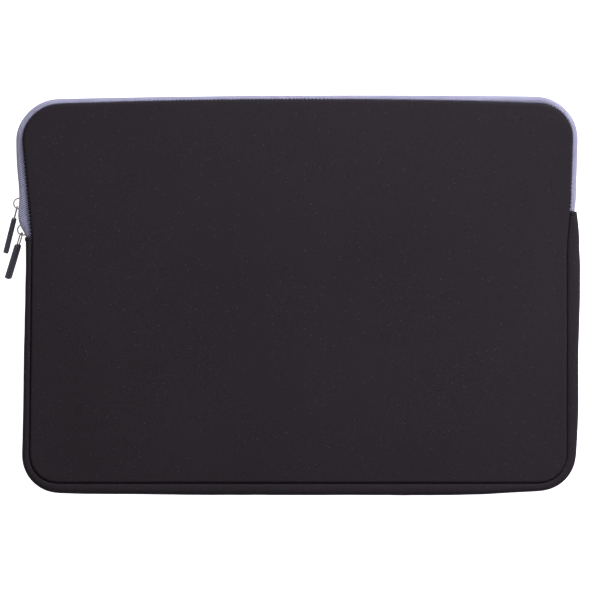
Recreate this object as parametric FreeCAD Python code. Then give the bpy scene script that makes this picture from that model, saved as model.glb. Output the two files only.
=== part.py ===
"""A laptop sleeve of soft neoprene with a two-slider zip round three of its sides.

It lies flat on its back panel. +X runs across the sleeve, +Y towards its zipped mouth and +Z out of its
front face. The origin is on the resting face, midway across and midway up the sleeve's body. Sizes are
in millimetres.
"""
import FreeCAD
import Part

import math
import os

from FreeCAD import Vector

os.makedirs("parts", exist_ok=True)

# ---- Driving dimensions ------------------------------------------------------------------------------
thickness = 26.0              # over both panels, sleeve lying flat
foam = 3.8                    # neoprene with its face jersey
lining = 0.7                  # inner knitted layer
panel_round = 2.6             # rounding of a panel's outer edge where it turns into the seam
mid_height = thickness / 2    # height of the zip chain and of the middle of the gusset

top_edge = 141.5              # line of the zip chain along the mouth
zip_side_lean = 2.9           # degrees by which the zip's long side runs lean inwards going down
zip_tail_lean = 18.0          # the same for the short left tail that is pulled in by the seam
zip_left_x = -197.2           # where those two left runs would meet
zip_left_knee_y = 54.0
zip_left_end_y = 41.0         # the zip stops at the gusset's hems
zip_right_x = 199.8           # right side run, carried up to the top edge
zip_right_lean = 1.8
zip_right_end_y = 59.8
top_left_radius = 35.0
top_right_radius = 31.0
knee_radius = 24.0

tape_reach_top = 3.4          # how far the chain lies outside the panel's edge
tape_reach_right = 3.2
panel_left_top_x = -198.6     # left edge, carried up to the panel's top edge
panel_left_radius = 31.0
panel_right_radius = 26.0

seam_left_x = -191.6          # panel edge beside the gusset, at its foot and at the zip's end
seam_left_top_x = -189.6
seam_left_top_radius = 10.0
seam_right_x = 191.8
seam_right_knee_y = 34.0
seam_right_radius = 30.0
seam_bottom_y = -133.5
seam_corner_radius = 19.5

gusset_left_x = -188.2        # line that the gusset's section is carried along
gusset_left_top_x = -185.0
gusset_right_x = 192.0
gusset_right_top_x = 190.0
gusset_right_knee_y = 26.0
gusset_right_knee_radius = 60.0
gusset_bottom_y = -134.5
gusset_corner_radius = 21.0
gusset_foot = 2.0             # how far it reaches in under the panels from that line
gusset_bulge = 9.0            # and how far it stands out
gusset_wall = 3.5
gusset_lining_gap = 0.03      # clearance between the gusset and its lining
hem_length = 3.5              # folded end of the gusset where it meets the zip
hem_proud = 0.5

tape_thick = 0.8
tape_bend = 3.5               # radius by which the tape turns in under the panel
tape_flange = 12.0            # tape's sewn edge, measured inwards from the chain's plane
chain_gap = 1.0               # half the slot between the two tapes, which the slider's post runs in
coil_height = 2.0
coil_width = 2.0
thread = 0.5
seam_thread_gap = 0.1         # from the panel's edge
tack_thick = 0.7
tack_width = 1.0
tack_reach = 3.5              # above and below the chain's middle
tack_from_end = 0.1

binding_width = 5.0
binding_thick = 0.8
binding_inset = 7.0           # from the panel edge

fold_y = 73.0                 # line about which the unzipped front flap folds back
fold_gap = 0.15               # half the cut between the fixed and the folding part of each layer
far = 500.0                   # beyond everything, for cutting away the rest of a shape

slider_length = 10.4
slider_nose_width = 8.4
slider_tail_width = 6.6
slider_plate = 1.0
slider_top_gap = 0.45         # from the tape's face to the top plate
slider_cavity = 3.65          # between the plates
slider_slot = 1.7             # height of the slot that the tape leaves by
slider_side_play = 0.4        # between the coils and the flanges
slider_edge_round = 0.35
slider_nose_cut = 1.8         # corners cut off the plates
slider_tail_cut = 1.2
slider_widest = 0.75          # where the plates start to narrow, from the middle towards the nose
post_width = 1.5
post_length = 3.0
post_setback = 0.5            # from the nose
bridge_radius = 3.75          # middle of the bridge's bar, on its round part
bridge_leg = 0.7              # straight part below the round one
bridge_bar = 0.55             # radius of that bar
bridge_foot_radius = 0.95
bridge_foot = 0.4
lower_slider_y = 47.7
upper_slider_y = 66.0

wire = 0.5                    # radius of the pull's wire
loop_half_width = 1.75
loop_start = 2.25             # distances from the bridge's centre, along the pull
grip_start = 11.6
loop_end = 14.9
grip_length = 26.2
grip_top = (3.6, 5.0)         # across and along the loop's plane
grip_foot = (3.8, 5.3)
grip_round = 1.2
grip_end_round = 0.7
pull_droop = 17.0             # degrees that a pull hangs below level to lie on the table
upper_pull_angle = 18.0       # from the slider's own axis, in plan
lower_pull_angle = 36.0
upper_pull_shift = 0.6        # outwards from the bridge's centre
lower_pull_twist = 22.0       # turn of the lower pull about its own length

# ---- Routes: lines and arcs in plan, run clockwise, so that the outside is always on the left ---------


def line_arc_route(points, closed=False):
    """Segments of a polyline whose corners are rounded. Each point is (x, y, radius)."""
    count = len(points)
    corners = []
    for i, (x, y, radius) in enumerate(points):
        here = Vector(x, y, 0)
        if not closed and i in (0, count - 1):
            corners.append((here, here, None))
            continue
        before = Vector(*points[i - 1][:2], 0)
        after = Vector(*points[(i + 1) % count][:2], 0)
        way_in = (here - before).normalize()
        way_out = (after - here).normalize()
        turn = math.atan2(way_in.cross(way_out).z, way_in.dot(way_out))
        reach = radius * math.tan(abs(turn) / 2)
        left = Vector(-way_in.y, way_in.x, 0)
        start = here - way_in * reach
        centre = start + left * math.copysign(radius, turn)
        corners.append((start, here + way_out * reach, (centre, turn)))
    segments = []
    for i, (start, end, arc) in enumerate(corners):
        if arc:
            segments.append(("arc", start, end, *arc))
        if closed or i < count - 1:
            segments.append(("line", end, corners[(i + 1) % count][0]))
    return [s for s in segments if (s[2] - s[1]).Length > 1e-6]


def outline_face(route, z):
    edges = []
    for kind, start, end, *arc in route:
        if kind == "line":
            edges.append(Part.makeLine(start, end))
        else:
            centre, turn = arc
            spoke = start - centre
            half = FreeCAD.Rotation(Vector(0, 0, 1), math.degrees(turn / 2)).multVec(spoke)
            edges.append(Part.Arc(start, centre + half, end).toShape())
    face = Part.Face(Part.Wire(edges))
    face.translate(Vector(0, 0, z))
    return face


def carry(route, section):
    """The solid that a section makes when carried along a route. Its points are (outwards, up)."""
    pieces = []
    for kind, start, end, *arc in route:
        if kind == "line":
            way = end - start
        else:
            centre, turn = arc
            spoke = start - centre
            way = Vector(-spoke.y, spoke.x, 0) * math.copysign(1, turn)
        face = section.copy()
        face.Placement = FreeCAD.Placement(
            start, FreeCAD.Rotation(Vector(0, 0, 1), math.degrees(math.atan2(way.x, -way.y)))
        )
        if kind == "line":
            pieces.append(face.extrude(way))
        else:
            pieces.append(face.revolve(centre, Vector(0, 0, 1), math.degrees(turn)))
    whole = pieces[0].fuse(pieces[1:]) if len(pieces) > 1 else pieces[0]
    return whole.removeSplitter()


def section_face(edges):
    """A face in the (outwards, up) plane from a closed list of points; a middle point in a list bends it."""
    made = []
    for edge in edges:
        points = [Vector(u, 0, z) for u, z in edge]
        made.append(Part.makeLine(*points) if len(points) == 2 else Part.Arc(*points).toShape())
    return Part.Face(Part.Wire(made))


def rectangle(u0, u1, z0, z1):
    corners = [(u0, z0), (u1, z0), (u1, z1), (u0, z1)]
    return section_face([(corners[i], corners[(i + 1) % 4]) for i in range(4)])


def flipped(shape):
    """The same shape on the sleeve's back half."""
    return shape.mirror(Vector(0, 0, mid_height), Vector(0, 0, 1))


def between(shape, y0, y1):
    """The part of a shape from y0 to y1."""
    block = Part.makeBox(2 * far, y1 - y0, 2 * far, Vector(-far, y0, -far))
    return shape.common(block)


def half(shape, side):
    """The part of a shape left (-1) or right (+1) of the middle."""
    return shape.common(Part.makeBox(far, 2 * far, 2 * far, Vector(min(0, side * far), -far, -far)))


def fixed_part(shape):
    return between(shape, -far, fold_y - fold_gap)


def folding_part(shape):
    return between(shape, fold_y + fold_gap, far)


def make_zip_points():
    tail = math.tan(math.radians(zip_tail_lean))
    side = math.tan(math.radians(zip_side_lean))
    right = math.tan(math.radians(zip_right_lean))
    return [
        (zip_left_x + (zip_left_knee_y - zip_left_end_y) * tail, zip_left_end_y, 0),
        (zip_left_x, zip_left_knee_y, knee_radius),
        (zip_left_x - (top_edge - zip_left_knee_y) * side, top_edge, top_left_radius),
        (zip_right_x, top_edge, top_right_radius),
        (zip_right_x - (top_edge - zip_right_end_y) * right, zip_right_end_y, 0),
    ]


def make_mouth_points():
    """The panel's edge beside the zip, from its left end over the top to its right end."""
    top = top_edge - tape_reach_top
    right_lean = (top_edge - zip_right_end_y) * math.tan(math.radians(zip_right_lean))
    return [
        (seam_left_top_x, zip_left_end_y, seam_left_top_radius),
        (panel_left_top_x, top, panel_left_radius),
        (zip_right_x - tape_reach_right, top, panel_right_radius),
        (zip_right_x - tape_reach_right - right_lean, zip_right_end_y, seam_right_radius),
    ]


def make_panel_points(mouth_points):
    return [
        (seam_left_x, seam_bottom_y, seam_corner_radius),
        *mouth_points,
        (seam_right_x, seam_right_knee_y, seam_right_radius),
        (seam_right_x, seam_bottom_y, seam_corner_radius),
    ]


def make_gusset_points():
    return [
        (gusset_right_top_x, zip_right_end_y, 0),
        (gusset_right_x, gusset_right_knee_y, gusset_right_knee_radius),
        (gusset_right_x, gusset_bottom_y, gusset_corner_radius),
        (gusset_left_x, gusset_bottom_y, gusset_corner_radius),
        (gusset_left_top_x, zip_left_end_y, 0),
    ]


zip_points = make_zip_points()
zip_route = line_arc_route(zip_points)
mouth_points = make_mouth_points()
mouth_route = line_arc_route(mouth_points)
panel_route = line_arc_route(make_panel_points(mouth_points), closed=True)
gusset_route = line_arc_route(make_gusset_points())

# ---- Cut and sewn fabric ------------------------------------------------------------------------------


def make_panel():
    """The front panel's foam, with its outer edge turned down into the seam."""
    slab = outline_face(panel_route, thickness - foam).extrude(Vector(0, 0, foam))
    rim = [e for e in slab.Edges if all(abs(v.Z - thickness) < 1e-6 for v in e.Vertexes)]
    return slab.makeFillet(panel_round, rim)


def make_lining():
    return outline_face(panel_route, thickness - foam - lining).extrude(Vector(0, 0, lining))


def bowed_section(outer, radius, wall):
    """A half-round wall, bowed outwards, with a flat foot running in under each panel."""
    middle = outer - radius
    inner = radius - wall
    top, bottom = mid_height + radius, mid_height - radius
    return section_face([
        ((-gusset_foot, top), (middle, top)),
        ((middle, top), (outer, mid_height), (middle, bottom)),
        ((middle, bottom), (-gusset_foot, bottom)),
        ((-gusset_foot, bottom), (-gusset_foot, bottom + wall)),
        ((-gusset_foot, bottom + wall), (middle, bottom + wall)),
        ((middle, bottom + wall), (middle + inner, mid_height), (middle, top - wall)),
        ((middle, top - wall), (-gusset_foot, top - wall)),
        ((-gusset_foot, top - wall), (-gusset_foot, top)),
    ])


def make_gusset():
    """The bowed strip and the folded, slightly thicker hem at each of its ends."""
    radius = mid_height - foam - lining
    whole = carry(gusset_route, bowed_section(gusset_bulge, radius, gusset_wall))
    fold = carry(gusset_route, bowed_section(gusset_bulge + hem_proud, radius, gusset_wall + hem_proud))
    hems = []
    for side, end in ((-1, zip_left_end_y), (1, zip_right_end_y)):
        start = end - hem_length
        whole = whole.cut(half(between(whole, start, far), side))
        hems.append(half(between(fold, start, end), side))
    return whole, *hems


def make_gusset_lining():
    """The knitted layer on the inside of the gusset."""
    inset = gusset_wall + gusset_lining_gap
    radius = mid_height - foam - lining - inset
    whole = carry(gusset_route, bowed_section(gusset_bulge - inset, radius, lining))
    return between(whole, -far, zip_left_end_y - hem_length)


def make_tape():
    """The front zip tape: up from the chain, round the bend and in under the panel's edge."""
    low = mid_height + chain_gap
    top = thickness - foam - lining
    start = top - tape_bend
    slant = math.sqrt(0.5)
    inner = tape_bend - tape_thick
    centre = -tape_bend
    return carry(zip_route, section_face([
        ((0, low), (0, start)),
        ((0, start), (centre + tape_bend * slant, start + tape_bend * slant), (centre, top)),
        ((centre, top), (-tape_flange, top)),
        ((-tape_flange, top), (-tape_flange, top - tape_thick)),
        ((-tape_flange, top - tape_thick), (centre, top - tape_thick)),
        ((centre, top - tape_thick), (centre + inner * slant, start + inner * slant), (-tape_thick, start)),
        ((-tape_thick, start), (-tape_thick, low)),
        ((-tape_thick, low), (0, low)),
    ]))


def make_coil():
    """The outer shape of the front coil, sewn to the inside of the tape."""
    low = mid_height + chain_gap
    high = low + coil_width
    outer, inner = -tape_thick, -tape_thick - coil_height
    return carry(zip_route, section_face([
        ((outer, low), (outer, high)),
        ((outer, high), (inner + coil_height / 2, high)),
        ((inner + coil_height / 2, high), (inner, (low + high) / 2), (inner + coil_height / 2, low)),
        ((inner + coil_height / 2, low), (outer, low)),
    ]))


def make_seam_thread():
    """The row of stitches along the panel's edge that holds the tape to the panel."""
    top = thickness - foam - lining
    return carry(mouth_route, rectangle(seam_thread_gap, seam_thread_gap + thread, top, top + thread))


def make_coil_thread():
    """The row of stitches on the tape's face that holds the coil behind it."""
    height = mid_height + chain_gap + coil_width / 2
    return carry(zip_route, rectangle(0.0, thread / 2, height, height + thread))


def make_end_tacks(coil_thread):
    """The dense bars of thread that close the chain off at its two ends, over the coils' own stitches."""
    bar = carry(zip_route, rectangle(0.0, tack_thick, mid_height - tack_reach, mid_height + tack_reach))
    bar = bar.cut([coil_thread, flipped(coil_thread)])
    tacks = []
    for side, end in ((-1, zip_left_end_y), (1, zip_right_end_y)):
        start = end + tack_from_end
        tacks.append(between(half(bar, side), start, start + tack_width))
    return tacks


def make_binding():
    """The woven ribbon sewn over the raw edges inside the seam."""
    top = thickness - foam - lining - tape_thick
    shrink = binding_inset
    return carry(panel_route, rectangle(-shrink - binding_width, -shrink, top - binding_thick, top))


# ---- Sliders and pulls, built along +X with +Y outwards, then set on the zip ---------------------------


def plate(y0, y1, nose):
    """One of the slider's two plates: a leaf that is wide at the nose."""
    end = slider_length / 2
    tail, wide = slider_tail_width / 2, slider_nose_width / 2
    one_side = [
        (-end, tail - slider_tail_cut), (-end + slider_tail_cut, tail), (slider_widest, wide),
        (end - slider_nose_cut, wide), (end, wide - slider_nose_cut),
    ]
    outline = one_side + [(x, -z) for x, z in reversed(one_side)]
    points = [Vector(x * nose, y0, z) for x, z in outline]
    return Part.Face(Part.makePolygon(points + points[:1])).extrude(Vector(0, y1 - y0, 0))


def softened_plate(y0, y1, nose, outer):
    """A plate with the edges of its outer face rounded."""
    leaf = plate(y0, y1, nose)
    rim = [e for e in leaf.Edges if all(abs(v.Y - outer) < 1e-6 for v in e.Vertexes)]
    return leaf.makeFillet(slider_edge_round, rim)


def make_post(low, nose):
    """The upright at the nose that parts the two coils: a bar with a round at each end."""
    middle = (slider_length / 2 - post_setback - post_length / 2) * nose
    start = middle - (post_length - post_width) / 2
    end = middle + (post_length - post_width) / 2
    up = Vector(0, 1, 0)
    web = Part.makeBox(end - start, slider_cavity, post_width, Vector(start, low, -post_width / 2))
    rounds = [Part.makeCylinder(post_width / 2, slider_cavity, Vector(x, low, 0), up) for x in (start, end)]
    return [web, *rounds]


def make_slider_body(nose):
    """Top plate, bottom plate with its two flanges, and the post at the nose that joins them."""
    top0 = slider_top_gap
    top1 = top0 + slider_plate
    low1 = top0 - slider_cavity
    low0 = low1 - slider_plate
    upper = softened_plate(top0, top1, nose, top1)
    lower = softened_plate(low0, low1, nose, low0)
    room = chain_gap + coil_width + slider_side_play
    hollow = Part.makeBox(
        2 * slider_length, 2 * slider_cavity, 2 * room, Vector(-slider_length, low1 - slider_cavity, -room)
    )
    flanges = plate(low1, top0 - slider_slot, nose).cut(hollow)
    return upper.fuse([lower, flanges, *make_post(low1, nose)]).removeSplitter()


def make_bridge():
    """The bow that the pull hangs on, standing on the top plate: a half ring on two legs with a foot each."""
    floor = slider_top_gap + slider_plate
    ring = Part.makeTorus(bridge_radius, bridge_bar, Vector(0, floor + bridge_leg, 0), Vector(0, 0, 1))
    bow = ring.common(Part.makeBox(2 * far, far, 2 * far, Vector(-far, floor + bridge_leg, -far)))
    legs = []
    for x in (-bridge_radius, bridge_radius):
        legs.append(Part.makeCylinder(bridge_bar, bridge_leg, Vector(x, floor, 0), Vector(0, 1, 0)))
        legs.append(Part.makeCylinder(bridge_foot_radius, bridge_foot, Vector(x, floor, 0), Vector(0, 1, 0)))
    return bow.fuse(legs).removeSplitter()


def make_loop():
    """The closed wire loop, lying along +X in the XZ plane and measured from the bridge's centre."""
    round_end = loop_half_width
    near, far = loop_start + round_end, loop_end - round_end
    parts = []
    for side in (-1, 1):
        parts.append(Part.makeCylinder(wire, far - near, Vector(near, 0, side * round_end), Vector(1, 0, 0)))
    for x, sign in ((near, -1), (far, 1)):
        ring = Part.makeTorus(round_end, wire, Vector(x, 0, 0), Vector(0, 1, 0))
        keep = Part.makeBox(far, 2 * far, 2 * far, Vector(min(x, x + sign * far), -far, -far))
        parts.append(ring.common(keep))
    return parts[0].fuse(parts[1:]).removeSplitter()


def rounded_section(x, size):
    across, along = size[0] / 2, size[1] / 2
    r = grip_round
    middle = r * (1 - math.sqrt(0.5))
    edges = []
    for sy, sz in ((1, 1), (1, -1), (-1, -1), (-1, 1)):
        a = Vector(x, sy * across, sz * (along - r))
        b = Vector(x, sy * (across - r), sz * along)
        m = Vector(x, sy * (across - middle), sz * (along - middle))
        corner = Part.Arc(a, m, b) if sy * sz < 0 else Part.Arc(b, m, a)
        edges.append(corner.toShape())
    ends = [(e.Vertexes[0].Point, e.Vertexes[-1].Point) for e in edges]
    joined = []
    for i, edge in enumerate(edges):
        joined.append(edge)
        joined.append(Part.makeLine(ends[i][1], ends[(i + 1) % 4][0]))
    return Part.Wire(joined)


def make_grip(loop):
    """The moulded grip, a slightly tapered bar with softened ends, cast round the end of the loop."""
    top = rounded_section(grip_start, grip_top)
    foot = rounded_section(grip_start + grip_length, grip_foot)
    bar = Part.makeLoft([top, foot], True, True)
    ends = [
        e for e in bar.Edges
        if abs(e.Vertexes[0].X - e.Vertexes[-1].X) < 1e-6
    ]
    return bar.makeFillet(grip_end_round, ends).cut(loop)


def lie_of(points, y):
    """Where a slider sits on the zip's left side at height y: the point and the lean in degrees."""
    on_tail = y < zip_left_knee_y
    a, b = (points[0], points[1]) if on_tail else (points[1], points[2])
    share = (y - a[1]) / (b[1] - a[1])
    return Vector(a[0] + share * (b[0] - a[0]), y, mid_height), zip_tail_lean if on_tail else zip_side_lean


def set_on_zip(shape, y):
    point, lean = lie_of(zip_points, y)
    placed = shape.copy()
    placed.Placement = FreeCAD.Placement(point, FreeCAD.Rotation(Vector(0, 0, 1), 90 + lean)).multiply(
        placed.Placement
    )
    return placed


def hang_on_bridge(shape, angle, twist, shift):
    """Turns a pull about its length, lets it droop about the bridge's bar, and swings it to its angle."""
    up = Vector(0, 0, 1)
    bar = Vector(bridge_radius, 0, 0)
    placed = shape.copy()
    placed.rotate(Vector(0, 0, 0), Vector(1, 0, 0), twist)
    placed.rotate(bar, Vector(0, 1, 0), pull_droop)
    placed.translate(Vector(0, -shift, 0))
    placed.rotate(Vector(0, 0, 0), up, 180 - angle)
    placed.translate(Vector(0, slider_top_gap + slider_plate + bridge_leg, 0))
    return placed


# ---- The parts ----------------------------------------------------------------------------------------

panel = make_panel()
panel_lining = make_lining()
binding = make_binding()
gusset, hem_left, hem_right = make_gusset()
coil_thread = make_coil_thread()
tack_left, tack_right = make_end_tacks(coil_thread)

parts = {
    "back_panel": flipped(panel),
    "back_lining": flipped(panel_lining),
    "seam_binding_back": flipped(binding),
    "front_panel_lower": fixed_part(panel),
    "front_lining_lower": fixed_part(panel_lining),
    "seam_binding_front_lower": fixed_part(binding),
    "front_panel_flap": folding_part(panel),
    "front_lining_flap": folding_part(panel_lining),
    "seam_binding_front_flap": folding_part(binding),
    "gusset": gusset,
    "gusset_lining": make_gusset_lining(),
    "gusset_hem_left": hem_left,
    "gusset_hem_right": hem_right,
    "zip_end_tack_left": tack_left,
    "zip_end_tack_right": tack_right,
}

# Each of these runs round the whole mouth. At the front its two ends stay with the sleeve's body and the
# rest lifts with the flap.
for name, strand in (
    ("zip_tape", make_tape()),
    ("zip_coil", make_coil()),
    ("seam_thread", make_seam_thread()),
    ("coil_thread", coil_thread),
):
    ends = fixed_part(strand)
    parts[f"{name}_back"] = flipped(strand)
    parts[f"{name}_front_flap"] = folding_part(strand)
    parts[f"{name}_front_left"] = half(ends, -1)
    parts[f"{name}_front_right"] = half(ends, 1)

for name, y, nose, *lie in (
    ("upper", upper_slider_y, -1, upper_pull_angle, 0.0, upper_pull_shift),
    ("lower", lower_slider_y, 1, lower_pull_angle, lower_pull_twist, 0.0),
):
    wire_loop = make_loop()
    parts[f"{name}_slider_body"] = set_on_zip(make_slider_body(nose), y)
    parts[f"{name}_slider_bridge"] = set_on_zip(make_bridge(), y)
    parts[f"{name}_pull_loop"] = set_on_zip(hang_on_bridge(wire_loop, *lie), y)
    parts[f"{name}_pull_grip"] = set_on_zip(hang_on_bridge(make_grip(wire_loop), *lie), y)

for name, shape in parts.items():
    shape.exportStep(f"parts/{name}.step")
    print(f"{name:26s} solids {len(shape.Solids)}  valid {shape.isValid()}  volume {shape.Volume:10.2f} mm3")
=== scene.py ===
import math

import bmesh
import bpy
import numpy as np
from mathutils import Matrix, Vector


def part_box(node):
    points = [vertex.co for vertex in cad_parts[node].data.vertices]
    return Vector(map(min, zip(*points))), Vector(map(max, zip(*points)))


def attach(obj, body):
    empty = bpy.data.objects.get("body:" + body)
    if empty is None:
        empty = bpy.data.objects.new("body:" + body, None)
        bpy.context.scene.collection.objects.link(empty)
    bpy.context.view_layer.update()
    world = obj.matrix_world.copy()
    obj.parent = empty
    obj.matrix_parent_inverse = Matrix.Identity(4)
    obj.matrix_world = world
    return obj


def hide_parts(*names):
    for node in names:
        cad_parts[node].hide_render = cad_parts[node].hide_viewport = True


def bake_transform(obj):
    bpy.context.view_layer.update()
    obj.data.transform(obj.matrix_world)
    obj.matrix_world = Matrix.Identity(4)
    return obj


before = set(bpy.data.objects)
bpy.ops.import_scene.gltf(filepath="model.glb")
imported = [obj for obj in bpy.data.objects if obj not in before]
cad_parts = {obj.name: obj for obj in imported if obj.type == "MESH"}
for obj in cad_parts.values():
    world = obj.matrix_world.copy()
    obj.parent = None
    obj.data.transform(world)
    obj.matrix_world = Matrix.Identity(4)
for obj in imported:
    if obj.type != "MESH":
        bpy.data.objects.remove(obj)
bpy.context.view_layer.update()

mm = 0.001
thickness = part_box("front_panel_flap")[1][2]
midHeight = thickness / 2


# One corner of a path: an arc that touches the runs on both sides, or the corner itself if it has no arc.
def cornerArc(corner, wayIn, turn, radius, pieces=24):
    if radius * abs(turn) < 1e-6:
        return corner[None]
    start = corner - wayIn * radius * math.tan(abs(turn) / 2)
    centre = start + np.array([-wayIn[1], wayIn[0]]) * math.copysign(radius, turn)
    spoke = start - centre
    across = np.array([-spoke[1], spoke[0]])
    angle = np.linspace(0, turn, pieces)[:, None]
    return centre + spoke * np.cos(angle) + across * np.sin(angle)


# Points averaged with their neighbours by a bell curve of the width soften. An open line is carried on past
# its ends by its own reflection, so that they stay put.
def smoothed(points, spacing, soften, closed):
    reach = int(3 * soften / spacing) + 1
    if closed:
        padded = np.vstack([points[-reach:], points, points[:reach]])
    else:
        before = 2 * points[0] - points[reach:0:-1]
        after = 2 * points[-1] - points[-2:-reach - 2:-1]
        padded = np.vstack([before, points, after])
    kernel = np.exp(-0.5 * (np.arange(-reach, reach + 1) * spacing / soften) ** 2)
    kernel /= kernel.sum()
    return np.stack([np.convolve(padded[:, axis], kernel, mode="valid") for axis in (0, 1)], axis=1)


# A path is straight runs joined by an arc of each corner's radius, cut into even steps and smoothed. Outward
# is to the left of the way it runs.
def roundedPath(corners, spacing, soften, closed=False):
    corners = np.array(corners, float)
    middle, radius = corners[:, :2], corners[:, 2]
    before, after = np.roll(middle, 1, axis=0), np.roll(middle, -1, axis=0)
    wayIn = (middle - before) / np.linalg.norm(middle - before, axis=1)[:, None]
    wayOut = (after - middle) / np.linalg.norm(after - middle, axis=1)[:, None]
    turn = np.arctan2(wayIn[:, 0] * wayOut[:, 1] - wayIn[:, 1] * wayOut[:, 0], (wayIn * wayOut).sum(axis=1))
    if not closed:
        turn[[0, -1]] = 0
    line = np.concatenate([cornerArc(*corner) for corner in zip(middle, wayIn, turn, radius)])
    if closed:
        line = np.vstack([line, line[:1]])
    travelled = np.concatenate([[0], np.cumsum(np.linalg.norm(np.diff(line, axis=0), axis=1))])
    count = int(round(travelled[-1] / spacing))
    steps = np.linspace(0, travelled[-1], count + 1)
    points = np.stack([np.interp(steps, travelled, line[:, axis]) for axis in (0, 1)], axis=1)
    points = points[:-1] if closed else points
    return measured(smoothed(points, spacing, soften, closed) * mm, closed)


# Adds to a line of points its distance travelled and its outward direction, the tangent turned left.
def measured(points, closed=False):
    if closed:
        ahead, behind = np.roll(points, -1, axis=0), np.roll(points, 1, axis=0)
    else:
        ahead = np.vstack([points[1:], 2 * points[-1:] - points[-2:-1]])
        behind = np.vstack([2 * points[:1] - points[1:2], points[:-1]])
    way = ahead - behind
    way /= np.linalg.norm(way, axis=1)[:, None]
    stretch = np.linalg.norm(np.roll(points, -1, axis=0) - points, axis=1)
    travelled = np.concatenate([[0], np.cumsum(stretch)])
    return {
        "points": points, "way": way, "out": np.stack([-way[:, 1], way[:, 0]], axis=1),
        "travelled": travelled[:-1], "length": travelled[-1 if closed else -2], "closed": closed,
    }


# Lifts a path's upper run into a shallow arch: y gains lift - fall * (x - centre)^2, easing in with height.
def arched(path, arch):
    x, y = path["points"].T / mm
    rise = arch["lift"] - arch["fall"] * (x - arch["centre"]) ** 2
    raised = y + easeIn((y - arch["from"]) / arch["over"]) * rise
    return measured(np.stack([x, raised], axis=1) * mm, path["closed"])


# The place and directions at any distances along a path, straight between its points.
def placeOn(path, distance):
    def read(values):
        return np.stack([np.interp(distance, path["travelled"], values[:, axis]) for axis in (0, 1)], -1)

    way = read(path["way"])
    way /= np.linalg.norm(way, axis=-1)[..., None]
    return read(path["points"]), way, np.stack([-way[..., 1], way[..., 0]], axis=-1)


# The weights of a clamped cubic B-spline: each row sums to one and mixes count control values.
def splineWeights(count, samples):
    degree = min(3, count - 1)
    knots = np.concatenate([np.zeros(degree), np.linspace(0, 1, count - degree + 1), np.ones(degree)])
    t = np.linspace(0, 1 - 1e-9, samples)[:, None]
    weights = ((knots[:-1] <= t) & (t < knots[1:])).astype(float)
    for power in range(1, degree + 1):
        rise = knots[power:-1] - knots[:-power - 1]
        fall = knots[power + 1:] - knots[1:-power]
        left = np.where(rise > 0, (t - knots[:-power - 1]) / np.where(rise > 0, rise, 1), 0)
        right = np.where(fall > 0, (knots[power + 1:] - t) / np.where(fall > 0, fall, 1), 0)
        weights = left * weights[:, :-1] + right * weights[:, 1:]
    return weights


# Zero below 0, one above 1, and 3t^2 - 2t^3 between.
def easeIn(t):
    t = np.clip(t, 0, 1)
    return t * t * (3 - 2 * t)


# Slow waves: the mean of six sines of x and y at chance headings, each of about the wavelength given.
def slowWaves(x, y, wavelength, seed):
    chance = np.random.default_rng(seed)
    total = 0
    for _ in range(6):
        heading, phase = chance.uniform(0, 2 * math.pi, 2)
        size = wavelength * chance.uniform(0.7, 1.7)
        total = total + np.sin(2 * math.pi * (x * math.cos(heading) + y * math.sin(heading)) / size + phase)
    return total / 6


# A section carried along a path: the point is the path's point plus its outward direction times the
# section's first value, at the height of its second value.
def carried(path, section):
    section = np.broadcast_to(section, (len(path["points"]), *section.shape[-2:]))
    flat = path["points"][:, None] + path["out"][:, None] * section[..., :1]
    return np.concatenate([flat, section[..., 1:]], axis=-1)


# The unit normal of each point of a section, its tangent turned left.
def sideways(curve):
    slope = np.gradient(curve, axis=-2)
    slope /= np.linalg.norm(slope, axis=-1)[..., None]
    return np.stack([-slope[..., 1], slope[..., 0]], axis=-1)


# A wall: the curve set in by start along its normal, and then back again set in by end.
def walled(curve, start, end):
    outward = sideways(curve)
    return np.concatenate([curve - outward * start, (curve - outward * end)[..., ::-1, :]], axis=-2)


def flippedOver(points):
    return np.concatenate([points[..., :2], thickness - points[..., 2:]], axis=-1)


# The faces of a grid of points (along, across). An open end of a closed section is filled by joining each
# point to the one that faces it. All are turned about if on the whole they look inwards.
def gridFaces(points, closedAlong, closedAcross):
    along, across = points.shape[:2]
    rows = np.arange(along if closedAlong else along - 1)
    columns = np.arange(across if closedAcross else across - 1)
    i, j = np.meshgrid(rows, columns, indexing="ij")
    corners = [(i, j), (i + 1, j), (i + 1, j + 1), (i, j + 1)]
    faces = np.stack([(a % along) * across + b % across for a, b in corners], axis=-1).reshape(-1, 4)
    if closedAcross and not closedAlong:
        k = np.arange(across // 2 - 1)
        cap = np.stack([k, k + 1, across - 2 - k, across - 1 - k], axis=-1)
        faces = np.vstack([faces, cap, (along - 1) * across + cap[:, ::-1]])
    flat = points.reshape(-1, 3)
    a, b, c, d = (flat[faces[:, corner]] for corner in range(4))
    outwards = (np.cross(c - a, d - b) * (a + b + c + d - 4 * flat.mean(axis=0))).sum() >= 0
    return faces if outwards else faces[:, ::-1]


# Joins points that coincide, such as those of the middle line that a panel's rings close on.
def weldDoubles(mesh):
    shape = bmesh.new()
    shape.from_mesh(mesh)
    bmesh.ops.remove_doubles(shape, verts=shape.verts, dist=1e-6)
    bmesh.ops.dissolve_degenerate(shape, edges=shape.edges, dist=1e-7)
    bmesh.ops.recalc_face_normals(shape, faces=shape.faces)
    shape.to_mesh(mesh)
    shape.free()


def asPiece(name, mesh):
    mesh.polygons.foreach_set("use_smooth", np.ones(len(mesh.polygons), bool))
    piece = bpy.data.objects.new(name, mesh)
    bpy.context.collection.objects.link(piece)
    return piece


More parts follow.
